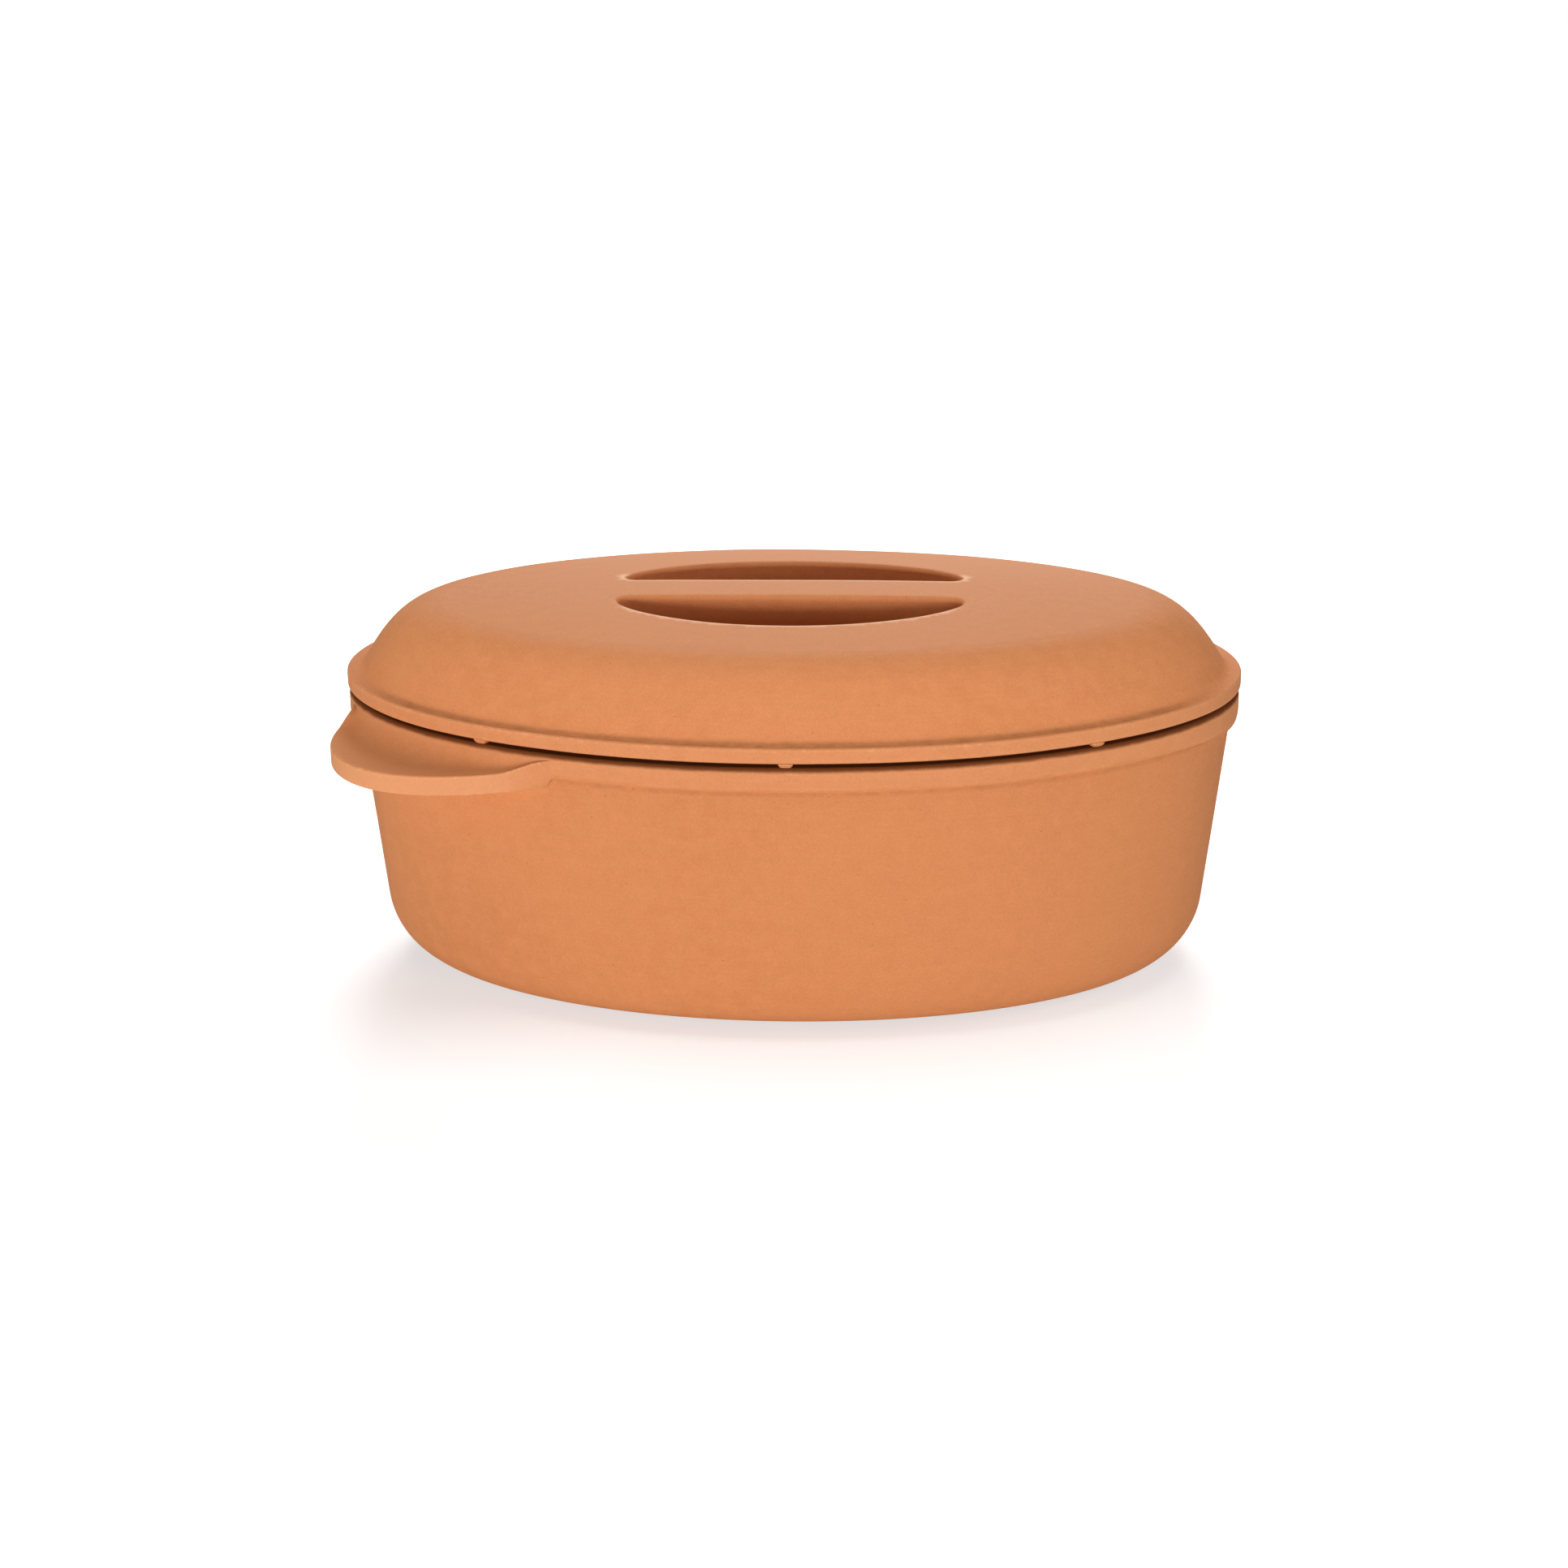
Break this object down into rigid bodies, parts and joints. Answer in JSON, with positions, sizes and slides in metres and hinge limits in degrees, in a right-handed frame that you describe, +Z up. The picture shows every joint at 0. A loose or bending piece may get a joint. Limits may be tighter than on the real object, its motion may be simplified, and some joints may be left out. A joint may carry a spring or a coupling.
{
  "type": "covered baking dish",
  "caption": "Oval unglazed clay baking dish with a rim band and thumb handles on a diagonal, and a domed lift-off lid whose recessed grip is crossed by a bar.",
  "frame": {"origin": "middle of the dish's flat base, on the surface it stands on", "axes": "+X along the dish, +Z up; the handles are at the front left (-X, -Y) and the back right"},
  "size_m": [0.36, 0.234, 0.1538],
  "materials": {
    "terracotta": "unglazed, matt"
  },
  "bodies": {
    "dish": {"dish": "terracotta"},
    "lid": {"lid": "terracotta"}
  },
  "joints": [
    {"name": "lid_lift", "type": "slide", "parent": "dish", "child": "lid", "axis": [0, 0, 1], "range_m": [0, 0.12]}
  ]
}
